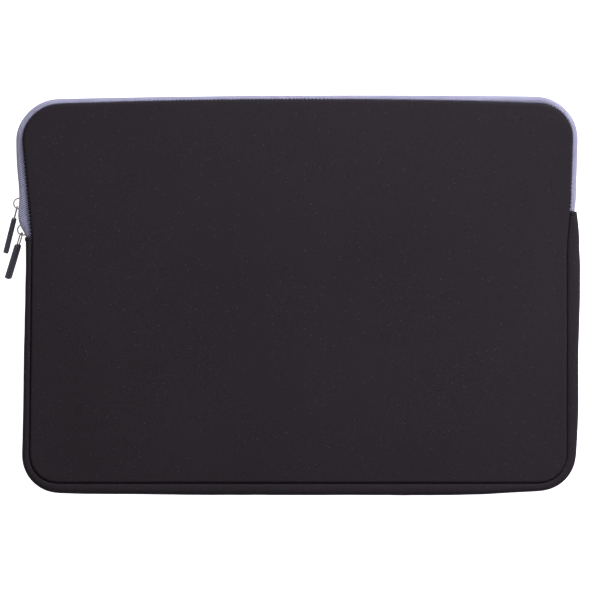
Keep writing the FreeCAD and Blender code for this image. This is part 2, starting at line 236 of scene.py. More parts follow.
# Puts a grid of points into a mesh, with metres along and across as its UV.
def makeSurface(name, points, closedAlong=False, closedAcross=False, weld=False):
    faces = gridFaces(points, closedAlong, closedAcross)
    mesh = bpy.data.meshes.new(name)
    mesh.vertices.add(points.size // 3)
    mesh.vertices.foreach_set("co", points.ravel())
    mesh.loops.add(faces.size)
    mesh.loops.foreach_set("vertex_index", faces.ravel())
    mesh.polygons.add(len(faces))
    mesh.polygons.foreach_set("loop_start", np.arange(0, faces.size, 4))
    mesh.polygons.foreach_set("loop_total", np.full(len(faces), 4))
    mesh.update(calc_edges=True)
    step = np.linalg.norm(np.diff(points, axis=1, prepend=points[:, :1]), axis=-1)
    run = np.linalg.norm(np.diff(points, axis=0, prepend=points[:1]), axis=-1).mean(axis=1)
    uv = np.stack([np.broadcast_to(np.cumsum(run)[:, None], step.shape), np.cumsum(step, axis=1)], axis=-1)
    layer = mesh.uv_layers.new(name="UVMap")
    layer.data.foreach_set("uv", uv.reshape(-1, 2)[faces.ravel()].ravel())
    if weld:
        weldDoubles(mesh)
    return asPiece(name, mesh)


# Many copies of one small closed shape: origin + x * way + y * out + z * up for each of its points.
def makeCopies(name, shape, faces, origins, ways, outs, ups):
    placed = (
        origins[:, None]
        + shape[None, :, :1] * ways[:, None]
        + shape[None, :, 1:2] * outs[:, None]
        + shape[None, :, 2:] * ups[:, None]
    )
    allFaces = (faces[None] + np.arange(len(origins))[:, None, None] * len(shape)).reshape(-1, faces.shape[1])
    mesh = bpy.data.meshes.new(name)
    mesh.from_pydata(placed.reshape(-1, 3), [], allFaces)
    return asPiece(name, mesh)


# One stitch lying along x: a ring of six points at each of five stations, its radius and height following
# a half sine, so that both ends dive into the cloth.
def stitchShape(length, radius, rise):
    t = np.linspace(0, 1, 5)[:, None]
    angle = np.linspace(0, 2 * math.pi, 6, endpoint=False)[None]
    swell = radius * np.sqrt(np.clip(1 - (2 * t - 1) ** 4, 0.15, 1))
    x = (t - 0.5) * length + 0 * angle
    y = swell * np.cos(angle)
    z = swell * np.sin(angle) + rise * np.sin(math.pi * t) - radius
    ring = np.arange(6)
    band = np.stack([ring, (ring + 1) % 6, 6 + (ring + 1) % 6, 6 + ring], -1)
    caps = np.array([[0, 5, 4, 3], [0, 3, 2, 1], [24, 25, 26, 27], [24, 27, 28, 29]])
    faces = np.vstack([*(band + 6 * k for k in range(4)), caps])
    return np.stack([x, y, z], axis=-1).reshape(-1, 3), faces[:, ::-1]


# A round tube about a line of points: at each, radius * (cos b * across + sin b * (tangent x across)).
def tubeGrid(line, across, radius, sides):
    tangent = np.gradient(line, axis=0)
    tangent /= np.linalg.norm(tangent, axis=1)[:, None]
    across = across - (across * tangent).sum(axis=1)[:, None] * tangent
    across /= np.linalg.norm(across, axis=1)[:, None]
    other = np.cross(tangent, across)
    angle = np.linspace(0, 2 * math.pi, sides, endpoint=False)[None, :, None]
    return line[:, None] + radius * (np.cos(angle) * across[:, None] + np.sin(angle) * other[:, None])


def dress(piece, material, slotName, *replaced):
    piece.data.materials.append(material)
    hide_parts(*replaced)
    return piece


# A piece at the front: its transform is baked into its mesh, and nothing here bends it where the open mouth
# folds back.
def foldWithFlap(piece):
    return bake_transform(piece)


def newFinish(name, color, roughness, **uniform):
    material = bpy.data.materials.new(name)
    material.use_nodes = True
    tree = material.node_tree
    shader = tree.nodes["Principled BSDF"]
    shader.inputs["Base Color"].default_value = (*color, 1)
    shader.inputs["Roughness"].default_value = roughness
    for socket, value in uniform.items():
        shader.inputs[socket.replace("_", " ")].default_value = value
    return material, tree, shader


def addNode(tree, kind, inputs=None, **settings):
    node = tree.nodes.new(kind)
    for key, value in settings.items():
        setattr(node, key, value)
    for key, value in (inputs or {}).items():
        if isinstance(value, bpy.types.NodeSocket):
            tree.links.new(value, node.inputs[key])
        else:
            node.inputs[key].default_value = value
    return node


def calc(tree, operation, *values):
    return addNode(tree, "ShaderNodeMath", dict(enumerate(values)), operation=operation).outputs[0]


def scaled(tree, value, factor):
    return calc(tree, "MULTIPLY", value, factor)


# The sine of a socket in metres, with the pitch given in millimetres.
def sineOf(tree, value, pitch):
    return calc(tree, "SINE", scaled(tree, value, 2 * math.pi / (pitch * mm)))


def mapRange(tree, value, low, high, newLow=0.0, newHigh=1.0):
    inputs = {"Value": value, "From Min": low, "From Max": high, "To Min": newLow, "To Max": newHigh}
    return addNode(tree, "ShaderNodeMapRange", inputs).outputs["Result"]


def mixColor(tree, factor, first, second):
    inputs = {0: factor, 6: first, 7: second}
    solid = {key: (*value, 1) if isinstance(value, tuple) else value for key, value in inputs.items()}
    return addNode(tree, "ShaderNodeMix", solid, data_type="RGBA").outputs[2]


def noise(tree, vector, scale, detail=2.0, roughness=0.5):
    inputs = {"Vector": vector, "Scale": scale, "Detail": detail, "Roughness": roughness}
    return addNode(tree, "ShaderNodeTexNoise", inputs).outputs["Fac"]


def addBump(tree, shader, height, strength, distance, before=None):
    inputs = {"Height": height, "Strength": strength, "Distance": distance * mm}
    if before:
        inputs["Normal"] = before
    bump = addNode(tree, "ShaderNodeBump", inputs).outputs["Normal"]
    tree.links.new(bump, shader.inputs["Normal"])
    return bump


def placeIn(tree, kind="Object"):
    return addNode(tree, "ShaderNodeTexCoord").outputs[kind]


# The x, y and z of a vector.
def axesOf(tree, vector):
    return addNode(tree, "ShaderNodeSeparateXYZ", {"Vector": vector}).outputs


neopreneLook = {
    "color": (0.0060, 0.0040, 0.0062),
    "paler": (0.0195, 0.0156, 0.0202),
    "sheenTint": (0.66, 0.52, 0.95, 1),
    "rim": (0.0015, 0.0009, 0.0040),       # painted shade where the panel's edge rolls down into the seam groove
    "stitchPitch": 0.42,                   # mm between the knit's columns
    "rowPitch": 0.42 / 1.3,
    "lint": (0.078, 0.074, 0.082),
    "lintEvery": 3.4,                      # mm between specks of lint
    "lintSize": 0.07,                      # and their radius as a share of that
    "lintShare": 0.7,
}


# Jersey on neoprene: fine columns of loops (sine of x times sine of y), a cloudy tone, and stray lint where
# the distance to a scattered point is small.
def neopreneFinish(name, sheen):
    look = neopreneLook
    material, tree, shader = newFinish(
        name, look["color"], 0.78, Sheen_Weight=sheen, Sheen_Roughness=0.28,
        Sheen_Tint=look["sheenTint"], Specular_IOR_Level=0.12,
    )
    place = placeIn(tree)
    axes = axesOf(tree, place)
    cloud = noise(tree, place, 9.0, 3.0)
    grain = noise(tree, place, 1500.0)
    tone = calc(tree, "ADD", scaled(tree, cloud, 0.3), scaled(tree, grain, 0.8))
    plain = mixColor(tree, mapRange(tree, tone, 0.3, 0.8), look["color"], look["paler"])
    # Painted shade: the colour darkens towards the seam groove round a panel's edge, weighted by an attribute
    # written from each point's depth below the panel's face.
    rim = addNode(tree, "ShaderNodeAttribute", attribute_name="rim").outputs["Fac"]
    shaded = mixColor(tree, rim, plain, look["rim"])
    scatter = addNode(tree, "ShaderNodeTexVoronoi", {"Vector": place, "Scale": 1 / (look["lintEvery"] * mm)})
    chance = addNode(tree, "ShaderNodeSeparateColor", {"Color": scatter.outputs["Color"]}).outputs[0]
    chosen = calc(tree, "GREATER_THAN", chance, 1 - look["lintShare"])
    near = calc(tree, "LESS_THAN", scatter.outputs["Distance"], look["lintSize"])
    speck = calc(tree, "MULTIPLY", near, chosen)
    tree.links.new(mixColor(tree, speck, shaded, look["lint"]), shader.inputs["Base Color"])
    columns = sineOf(tree, axes[0], look["stitchPitch"])
    rows = sineOf(tree, axes[1], look["rowPitch"])
    knit = addBump(tree, shader, calc(tree, "MULTIPLY", columns, rows), 0.35, 0.03)
    addBump(tree, shader, grain, 0.3, 0.08, knit)
    tree.links.new(mapRange(tree, cloud, 0.3, 0.7, 0.72, 0.84), shader.inputs["Roughness"])
    return material


liningLook = {"color": (0.030, 0.030, 0.034), "paler": (0.052, 0.052, 0.058), "ribPitch": 1.1}


# Brushed knit: shallow ribs under a fuzzy nap of stretched noise.
def liningFinish():
    look = liningLook
    material, tree, shader = newFinish(
        "brushedLining", look["color"], 0.95, Sheen_Weight=0.35, Sheen_Roughness=0.6, Specular_IOR_Level=0.15,
    )
    place = placeIn(tree)
    axes = axesOf(tree, place)
    drawn = addNode(tree, "ShaderNodeMapping", {"Vector": place, "Scale": (1.0, 0.35, 1.0)}).outputs[0]
    nap = noise(tree, drawn, 900.0, 4.0)
    tree.links.new(mixColor(tree, nap, look["color"], look["paler"]), shader.inputs["Base Color"])
    ribs = addBump(tree, shader, sineOf(tree, axes[0], look["ribPitch"]), 0.4, 0.12)
    addBump(tree, shader, nap, 0.7, 0.35, ribs)
    return material


# In both woven looks, color is the painted shade deep in the weave's grooves and paler is the yarn on the
# tops of the ribs.
tapeLook = {
    "color": (0.022, 0.020, 0.047), "paler": (0.420, 0.413, 0.585),
    "ribPitch": 1.5, "columnWidth": 1.65, "slant": 0.9,
}
ribbonLook = {
    "color": (0.010, 0.010, 0.011), "paler": (0.034, 0.034, 0.038),
    "ribPitch": 0.9, "columnWidth": 0.8, "slant": 1.0,
}


# Herringbone: sine of (along + slant * the zigzag of across) over the rib pitch, each rib made of fine yarns,
# with a darker line down the middle of each column. The dark between the ribs and the darker line are painted
# shade of the weave's grooves, mixed into the colour over the yarns' own cloudy tone.
def wovenFinish(name, look):
    material, tree, shader = newFinish(
        name, look["color"], 0.8, Sheen_Weight=0.8, Sheen_Roughness=0.3, Specular_IOR_Level=0.25,
    )
    place = placeIn(tree)
    axes = axesOf(tree, placeIn(tree, "UV"))
    column = look["columnWidth"] * mm
    zigzag = calc(tree, "PINGPONG", axes[1], column)
    rib = sineOf(tree, calc(tree, "ADD", axes[0], scaled(tree, zigzag, look["slant"])), look["ribPitch"])
    seam = calc(tree, "ABSOLUTE", calc(tree, "SUBTRACT", zigzag, column / 2))
    yarn = noise(tree, place, 1100.0, 3.0, 0.7)
    wear = noise(tree, place, 60.0)
    cloud = calc(tree, "ADD", scaled(tree, yarn, 1.6), scaled(tree, wear, 0.4))
    tone = calc(tree, "ADD", scaled(tree, rib, 0.8), cloud)
    # Painted shade: the mix runs darker in the grooves between ribs and along the column lines, over the
    # yarns' real cloudy tone.
    shade = mapRange(tree, calc(tree, "SUBTRACT", tone, scaled(tree, seam, 260.0)), 0.0, 1.7)
    tree.links.new(mixColor(tree, shade, look["color"], look["paler"]), shader.inputs["Base Color"])
    addBump(tree, shader, calc(tree, "ADD", scaled(tree, rib, 0.5), scaled(tree, yarn, 0.5)), 0.9, 0.3)
    return material


# Twisted thread: slanted bands, the sine of x + y + z, with a fuzzy break-up.
def threadFinish(name, color, roughness, sheen):
    material, tree, shader = newFinish(name, color, roughness, Sheen_Weight=sheen, Specular_IOR_Level=0.1)
    place = placeIn(tree)
    axes = axesOf(tree, place)
    total = calc(tree, "ADD", axes[0], calc(tree, "ADD", axes[1], axes[2]))
    twist = sineOf(tree, total, 0.35)
    fuzz = noise(tree, place, 3000.0)
    lighter = tuple(min(1.0, channel * 1.7 + 0.004) for channel in color)
    tree.links.new(mixColor(tree, fuzz, color, lighter), shader.inputs["Base Color"])
    addBump(tree, shader, calc(tree, "ADD", twist, fuzz), 0.5, 0.06)
    return material


# Drawn nylon, plate or rubber: nearly smooth, with a faint cloudy wear in its gloss.
def hardFinish(name, color, roughness, wearScale=350.0, **uniform):
    material, tree, shader = newFinish(name, color, roughness, **uniform)
    place = placeIn(tree)
    wear = noise(tree, place, wearScale, 3.0)
    fine = noise(tree, place, wearScale * 9)
    gloss = mapRange(tree, wear, 0.3, 0.7, roughness * 0.7, roughness * 1.4)
    tree.links.new(gloss, shader.inputs["Roughness"])
    darker = tuple(channel * 0.78 for channel in color)
    tree.links.new(mixColor(tree, wear, darker, color), shader.inputs["Base Color"])
    addBump(tree, shader, fine, 0.12, 0.03)
    return material


neoprene = neopreneFinish("neopreneJersey", 0.6)
flatNeoprene = neopreneFinish("neopreneFlatJersey", 0.12)
lining = liningFinish()
tapeWeave = wovenFinish("zipTapeWeave", tapeLook)
ribbonWeave = wovenFinish("bindingRibbon", ribbonLook)
blackThread = threadFinish("blackThread", (0.005, 0.004, 0.010), 0.7, 0.0)
greyThread = threadFinish("greyThread", (0.16, 0.155, 0.23), 0.6, 0.2)
coilNylon = hardFinish("coilNylon", (0.21, 0.205, 0.30), 0.38)
nickel = hardFinish("nickelPlate", (0.60, 0.55, 0.53), 0.18, Metallic=1.0)
gripRubber = hardFinish(
    "mouldedGrip", (0.058, 0.046, 0.080), 0.5, 500.0, Sheen_Weight=0.3, Specular_IOR_Level=0.35
)
print("finishes made")


panelValues = {
    "outline": [              # corners as x, y and radius in mm
        (-191.6, -133.5, 19.5), (-189.6, 41, 10), (-198.6, 138.1, 25),
        (196.6, 138.1, 23), (194.0, 59.8, 30), (191.8, 34, 30), (191.8, -133.5, 19.5),
    ],
    "soften": 3.0,
    "halfSize": (192.0, 136.0),
    "centreY": 3.5,
    "flatness": (6, 5),       # how late the crown starts to fall, across and up
    "spineReach": 96.0,       # half length of the line that the rings close on
    "spineStep": 4.0,
    "foam": 3.8,
    "crown": 1.3,             # how far the middle stands above the edge
    "ripple": 0.45,
    "rippleSize": 120.0,
    "fineRipple": 0.35,       # finer ripples, as a share of the others
    "fineSize": 45.0,
    "mouthFrom": 30.0,        # where the seam's roll starts to change into the mouth's
    "mouthOver": 16.0,
    "rollSamples": 16,
    "crowding": 1.15,         # rings lie closer near the edge
}
panelArch = {"from": 95.0, "over": 40.0, "lift": 1.7, "fall": 1.06e-4, "centre": 8.0}
outline = arched(roundedPath(panelValues["outline"], 3.0, panelValues["soften"], closed=True), panelArch)
outlineFine = arched(roundedPath(panelValues["outline"], 1.0, panelValues["soften"], closed=True), panelArch)


# How far a place lies in from the panel's edge, one in the middle: (1 - |x / half|^6) * (1 - |y / half|^5),
# with y measured from the panel's centre.
def middleness(x, y):
    halfWide, halfHigh = (half * mm for half in panelValues["halfSize"])
    aside = np.clip(np.abs(x) / halfWide, 0, 1) ** panelValues["flatness"][0]
    above = np.clip(np.abs(y - panelValues["centreY"] * mm) / halfHigh, 0, 1) ** panelValues["flatness"][1]
    return np.clip((1 - aside) * (1 - above), 0, 1)


def frontRelief(x, y):
    inside = middleness(x, y)
    fine = slowWaves(x, y, panelValues["fineSize"] * mm, 8)
    waves = slowWaves(x, y, panelValues["rippleSize"] * mm, 3) + panelValues["fineRipple"] * fine
    return (panelValues["crown"] * inside + panelValues["ripple"] * waves * np.sqrt(inside)) * mm


def noRelief(x, y):
    return 0 * x


# A padded panel as rings of its outline. The rings start on the middle line underneath, run out to the
# edge, follow its roll, and shrink again to the middle line on top. Relief is added on top as a function
# of x and y.
def panelGrid(roll, underside, relief, rings, underRings, mouthRoll=None):
    weights = splineWeights(len(roll), panelValues["rollSamples"])
    edge = weights @ np.array(roll, float) * mm
    if mouthRoll:
        height = outline["points"][:, 1] / mm - panelValues["mouthFrom"]
        share = easeIn(height / panelValues["mouthOver"])[:, None, None]
        edge = edge + (weights @ np.array(mouthRoll, float) * mm - edge) * share
    around = carried(outline, edge)
    step, reach = panelValues["spineStep"] * mm, panelValues["spineReach"] * mm
    spine = np.round(np.clip(outline["points"][:, None, :1], -reach, reach) / step) * step
    spine = np.concatenate([spine, 0 * spine], axis=-1)
    share = np.linspace(1, 0, underRings, endpoint=False)[None, :, None]
    under = around[:, :1, :2] * (1 - share) + spine * share
    under = np.concatenate([under, np.full_like(under[..., :1], underside)], axis=-1)
    share = 1 - np.linspace(1, 0, rings + 1)[None, 1:, None] ** panelValues["crowding"]
    over = around[:, -1:, :2] * (1 - share) + spine * share
    over = np.concatenate([over, np.broadcast_to(around[:, -1:, 2:], over[..., :1].shape)], axis=-1)
    points = np.concatenate([under, around, over], axis=1)
    points[:, underRings:, 2] += relief(points[:, underRings:, 0], points[:, underRings:, 1])
    return points


# Each roll runs from the panel's underside round its edge to its face, as places out and up in mm.
top = thickness / mm
under = top - panelValues["foam"]
frontRoll = [
    (-1.5, under + 0.1), (-0.5, under + 0.1), (0.0, under + 0.9), (0.0, under + 2.4), (-0.1, top - 0.5),
    (-0.8, top - 0.05), (-2.0, top), (-5.0, top), (-12.0, top),
]
mouthRoll = [
    (-1.5, under + 0.1), (-0.5, under + 0.1), (-0.05, under + 0.6), (0.15, under + 1.6), (0.0, top - 0.9),
    (-0.6, top - 0.2), (-2.2, top), (-6.0, top), (-12.0, top),
]
backRoll = [
    (-1.5, under + 0.1), (-0.6, under + 0.1), (-0.1, under + 0.9), (-0.2, under + 2.0), (-1.4, top - 1.0),
    (-3.6, top - 0.25), (-6.0, top), (-9.0, top), (-12.0, top),
]
rimValues = {"from": 0.15, "over": 1.1}     # mm below the face where the painted seam shade starts, and over which it deepens


# Writes how near each point lies to the seam groove round a panel, as the weight of the painted shade there:
# one below the roll, nought on the face.
def markPaintedSeamShade(piece, faceHeight, upright):
    heights = np.empty(len(piece.data.vertices) * 3)
    piece.data.vertices.foreach_get("co", heights)
    below = (faceHeight - heights[2::3] * upright) / mm
    marks = piece.data.attributes.new("rim", "FLOAT", "POINT")
    marks.data.foreach_set("value", easeIn((below - rimValues["from"]) / rimValues["over"]))


frontPoints = panelGrid(frontRoll, under * mm, frontRelief, 42, 44, mouthRoll)
frontPanel = makeSurface("frontPanel", frontPoints, closedAlong=True, weld=True)
markPaintedSeamShade(frontPanel, thickness, 1)
dress(frontPanel, flatNeoprene, "neoprene_face", "front_panel_lower", "front_panel_flap")
foldWithFlap(frontPanel)

backPoints = flippedOver(panelGrid(backRoll, under * mm, noRelief, 30, 10))
backPanel = makeSurface("backPanel", backPoints, closedAlong=True, weld=True)
markPaintedSeamShade(backPanel, 0, -1)
dress(backPanel, flatNeoprene, "neoprene_face", "back_panel")
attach(backPanel, "sleeve")

liningValues = {"thick": 0.55, "gap": 0.13}
liningTop = under - liningValues["gap"]
liningFoot = liningTop - liningValues["thick"]
liningRoll = [
    (-1.6, liningFoot), (-0.9, liningFoot), (-0.6, liningFoot + 0.2), (-0.6, liningTop - 0.1),
    (-1.2, liningTop), (-4.0, liningTop), (-12.0, liningTop),
]
frontLiningPoints = panelGrid(liningRoll, liningFoot * mm, noRelief, 44, 44)
frontLining = makeSurface("frontLining", frontLiningPoints, closedAlong=True, weld=True)
dress(frontLining, lining, "lining_fleece", "front_lining_lower", "front_lining_flap")
foldWithFlap(frontLining)
backLiningPoints = flippedOver(panelGrid(liningRoll, liningFoot * mm, noRelief, 30, 30))
backLining = makeSurface("backLining", backLiningPoints, closedAlong=True, weld=True)
dress(backLining, lining, "lining_fleece", "back_lining")
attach(backLining, "sleeve")
print("panels and linings made")


gussetValues = {
    "corners": [
        (194.0, 60.4, 0), (191.8, 34, 30), (191.8, -133.5, 19.5), (-191.6, -133.5, 19.5), (-189.6, 41.9, 0),
    ],
    "soften": 3.0,
    "bulge": [                # how far it bows out, evenly spaced from right to left
        5.2, 9.4, 10.6, 8.0, 9.4, 5.0, 9.2, 9.2, 9.0, 9.2, 8.9, 8.4, 8.8, 4.8, 5.8, 5.0, 4.4, 5.2,
    ],
    "curve": [                # its upper half: share of the bulge, mm more outward, mm above the middle
        (0, -1.6, 9.0), (0, -0.3, 9.2), (0.02, 0, 11.6), (0.3, 0, 12.2),
        (0.72, 0, 12.2), (1.0, 0, 10.6), (1.03, 0, 5.0), (1.0, 0, 0.0),
    ],
    "wall": 3.3,
    "ripple": 0.22,
    "rippleSize": 55.0,
    "fineRipple": 0.5,        # finer ripples, as a share of the others
    "fineSize": 24.0,
    "liningGap": 0.06,
    "liningThick": 0.6,
}
hemValues = {
    "length": 3.4,
    "tuck": 1.2,              # how far the strip runs in under the hem
    "deep": 2.3,
    "proud": 0.45,            # how far the hem stands out from the strip
    "liftPower": 0.7,         # below one squares the oval
    "slidePower": 0.8,
}
gussetPath = roundedPath(gussetValues["corners"], 2.0, gussetValues["soften"])


# The gusset's outer curve from the front seam round to the back one, the lower half mirroring the upper.
def gussetCurve(bulge, samples=40):
    upper = np.array(gussetValues["curve"], float)
    share, inset, height = np.vstack([upper, upper[-2::-1] * (1, 1, -1)]).T
    out = share * bulge[:, None] + inset
    control = np.stack([out, np.broadcast_to(height + midHeight / mm, out.shape)], axis=-1)
    return np.einsum("tk,nkd->ntd", splineWeights(len(share), samples), control) * mm


def gussetBulge(path):
    x, y = path["points"].T
    bulge = np.array(gussetValues["bulge"])
    fine = slowWaves(x, y, gussetValues["fineSize"] * mm, 22)
    waves = slowWaves(x, y, gussetValues["rippleSize"] * mm, 21) + gussetValues["fineRipple"] * fine
    return splineWeights(len(bulge), len(x)) @ bulge + gussetValues["ripple"] * waves


gussetOuter = gussetCurve(gussetBulge(gussetPath))
tuckedIn = (hemValues["length"] - hemValues["tuck"]) * mm
tucked = np.linspace(tuckedIn, gussetPath["length"] - tuckedIn, len(gussetPath["points"]))
middlePath = measured(placeOn(gussetPath, tucked)[0])
middleOuter = gussetCurve(np.interp(tucked, gussetPath["travelled"], gussetBulge(gussetPath)))
gussetPoints = carried(middlePath, walled(middleOuter, 0, gussetValues["wall"] * mm))
gusset = makeSurface("gussetStrip", gussetPoints, closedAcross=True)
dress(gusset, neoprene, "neoprene_face", "gusset")
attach(gusset, "sleeve")

innerStart = (gussetValues["wall"] + gussetValues["liningGap"]) * mm
innerEnd = innerStart + gussetValues["liningThick"] * mm
innerPoints = carried(middlePath, walled(middleOuter, innerStart, innerEnd))
gussetLining = makeSurface("gussetLining", innerPoints, closedAcross=True)
dress(gussetLining, lining, "lining_fleece", "gusset_lining")
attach(gussetLining, "sleeve")


# A sine or cosine with its waves squared off: |v|^power with v's sign.
def squaredOff(value, power):
    return np.sign(value) * np.abs(value) ** power


# A folded hem: a rounded bar carried along the gusset's end curve, its section an oval as wide as the fold.
def makeHem(name, index, node):
    look = hemValues
    curve = gussetOuter[index]
    point, way, out = gussetPath["points"][index], gussetPath["way"][index], gussetPath["out"][index]
    sign = 1 if index == 0 else -1
    normal = sideways(curve)
    centre = curve - normal * (look["deep"] / 2 - look["proud"]) * mm
    around = np.linspace(0, 2 * math.pi, 20, endpoint=False)[None, :, None]
    lift = squaredOff(np.sin(around), look["liftPower"]) * look["deep"] / 2 * mm
    slide = (1 - squaredOff(np.cos(around), look["slidePower"])) * look["length"] / 2 * mm * sign
    section = centre[:, None] + normal[:, None] * lift
    flat = point + out * section[..., :1] + way * slide
    hem = makeSurface(name, np.concatenate([flat, section[..., 1:]], axis=-1), closedAcross=True)
    dress(hem, neoprene, "neoprene_face", node)
    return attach(hem, "sleeve")


makeHem("hemRight", 0, "gusset_hem_right")
makeHem("hemLeft", -1, "gusset_hem_left")
print("gusset made")


zipValues = {
    "corners": [
        (-192.98, 41, 0), (-197.2, 54.0, 24), (-201.63, 141.5, 29), (199.8, 141.5, 29), (197.23, 59.8, 0),
    ],
    "soften": 0.6,
    "bulge": 1.15,            # how far the tape bows out beyond the chain
    "bellied": 1.3,           # and how much more beside the sliders, where nothing pulls it flat
    "bellyAt": 17.0,          # mm along the zip
    "bellySize": 10.0,
    "wave": 0.35,             # slow wander of the bow near the sliders
    "waveSize": 9.5,
    "wavePhase": 1.9,
    "waveEnds": 90.0,
    "waveFade": 30.0,
    "endBow": 0.45,           # share of the bow that is left at the two ends
    "endReach": 9.0,
    "reachAt": [0, 0.05, 0.13, 0.2, 0.8, 0.86, 1.0],        # shares of the zip's length
    "reach": [2.9, 4.6, 3.4, 2.7, 2.7, 2.6, 2.6],           # how far in the tape meets the panel
    "thick": 0.75,
    "slitByPull": 0.86,       # half the slit where the sliders run, and elsewhere
    "slit": 0.3,
    "runLength": 66.0,        # how far the sliders run along the zip
    "runFade": 12.0,
}
zipArch = {"from": 100.0, "over": 35.0, "lift": 0.4, "fall": 5.2e-5, "centre": 50.0}
zipPath = arched(roundedPath(zipValues["corners"], 1.5, zipValues["soften"]), zipArch)


# Nought where the sliders run, one beyond.
def pastSliders(distance):
    return easeIn((distance / mm - zipValues["runLength"]) / zipValues["runFade"])


# The tape's curve from the chain, up flat past the slider, out in a bow, and in under the panel. The bow has
# a bell-shaped belly beside the sliders and a slow sine wave.
def tapeCurve(path, samples=34):
    look = zipValues
    along = path["travelled"] / mm
    fromEnd = np.minimum(along, path["length"] / mm - along)
    slit = look["slitByPull"] + (look["slit"] - look["slitByPull"]) * pastSliders(path["travelled"])
    reach = np.interp(path["travelled"] / path["length"], look["reachAt"], look["reach"])
    belly = look["bellied"] * np.exp(-((along - look["bellyAt"]) / look["bellySize"]) ** 2)
    fading = easeIn((look["waveEnds"] - along) / look["waveFade"])
    wave = look["wave"] * np.sin(along / look["waveSize"] + look["wavePhase"]) * fading
    held = look["endBow"] + (1 - look["endBow"]) * easeIn(fromEnd / look["endReach"])
    bow = (look["bulge"] + belly + wave) * held
    places = [                # out, and up from the middle
        (0, slit), (0, slit + 1.2), (0, 3.6), (-0.02, 4.7), (bow * 1.25, 5.6), (bow * 1.3, 7.8),
        (-0.35 * reach, 9.6), (-reach - 0.4, 8.7), (-reach - 2.0, 8.3), (-8.5, 8.3), (-12.0, 8.25),
    ]
    middle = midHeight / mm
    control = np.stack([np.stack([out + 0 * along, middle + up + 0 * along], -1) for out, up in places], 1)
    return np.einsum("tk,nkd->ntd", splineWeights(len(places), samples), control) * mm


def frontNodes(stem):
    return [f"{stem}_front_{end}" for end in ("left", "right", "flap")]


tapePoints = carried(zipPath, walled(tapeCurve(zipPath)[:, ::-1], 0, zipValues["thick"] * mm))
zipTapeFront = makeSurface("zipTapeFront", tapePoints, closedAcross=True)
dress(zipTapeFront, tapeWeave, "zip_tape", *frontNodes("zip_tape"))
foldWithFlap(zipTapeFront)
zipTapeBack = makeSurface("zipTapeBack", flippedOver(tapePoints), closedAcross=True)
dress(zipTapeBack, tapeWeave, "zip_tape", "zip_tape_back")
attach(zipTapeBack, "sleeve")


coilValues = {
    "pitch": 1.3,
    "start": 2.2,             # mm in from the end of the zip
    "spare": 4.0,             # mm of the zip's length that the turns leave free
    "wire": 0.30,
    "headByPull": 1.2,        # height above the middle of a turn's near end where the sliders run
    "head": -0.55,            # and beyond them, where the two coils lie between each other's turns
    "foot": 3.1,              # and of its far end
    "inset": 1.745,
    "halfDepth": 0.68,
    "squareness": 0.8,
}


# A coil: for each turn's angle a, the path's point a pitch further on, outward by a sine and up by a cosine
# flattened into an oval, whose heads reach towards the other coil.
def coilGrid(offset):
    look = coilValues
    turns = int((zipPath["length"] / mm - look["spare"]) / look["pitch"])
    angle = np.linspace(0, 2 * math.pi * turns, turns * 10)
    distance = (look["start"] + look["pitch"] * (angle / (2 * math.pi) + offset)) * mm
    point, way, out = placeOn(zipPath, distance)
    head = look["headByPull"] + (look["head"] - look["headByPull"]) * pastSliders(distance)
    foot = look["foot"]
    squared = squaredOff(np.cos(angle), look["squareness"])
    outward = (np.sin(angle) * look["halfDepth"] - look["inset"]) * mm
    height = midHeight + ((head + foot) / 2 - squared * (foot - head) / 2) * mm
    line = np.concatenate([point + out * outward[:, None], height[:, None]], axis=1)
    return tubeGrid(line, np.concatenate([way, 0 * way[:, :1]], axis=1), look["wire"] * mm, 6)


zipCoilFront = makeSurface("zipCoilFront", coilGrid(0.0), closedAcross=True)
dress(zipCoilFront, coilNylon, "zip_coil", *frontNodes("zip_coil"))
foldWithFlap(zipCoilFront)
zipCoilBack = makeSurface("zipCoilBack", flippedOver(coilGrid(0.5)), closedAcross=True)
dress(zipCoilBack, coilNylon, "zip_coil", "zip_coil_back")
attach(zipCoilBack, "sleeve")


# Each row's stitches stand at a place (out from the path, height in metres) and lean by (out, up).
seamThread = {
    "pitch": 2.7, "length": 1.95, "radius": 0.46, "rise": 0.5,
    "out": 0.55, "height": thickness - 3.3 * mm, "lean": (0.45, 1.0),
}
coilThread = {
    "pitch": 2.0, "length": 1.5, "radius": 0.2, "rise": 0.16,
    "out": 0.0, "height": midHeight + 2.1 * mm, "lean": (1.0, 0.0),
}
tackThread = {"apart": [0.35, 0.8, 1.25], "length": 7.2, "radius": 0.34, "rise": 0.5, "out": 0.15}


def oneStitch(look):
    return stitchShape(look["length"] * mm, look["radius"] * mm, look["rise"] * mm)


# Stitches in a row along a path.
def stitchRow(name, path, look, flip):
    count = int(path["length"] / look["pitch"] / mm) - 1
    distance = (np.arange(count) + 0.75) * look["pitch"] * mm
    point, way, out = placeOn(path, distance)
    lean = np.array(look["lean"]) / np.linalg.norm(look["lean"])
    level = np.ones((count, 1))
    origins = np.concatenate([point + out * look["out"] * mm, level * look["height"]], axis=1)
    ways = np.concatenate([way, 0 * level], axis=1)
    ups = np.concatenate([out * lean[0], level * lean[1]], axis=1)
    if flip:
        origins[:, 2] = thickness - origins[:, 2]
        ups[:, 2] *= -1
    return makeCopies(name, *oneStitch(look), origins, ways, np.cross(ups, ways), ups)


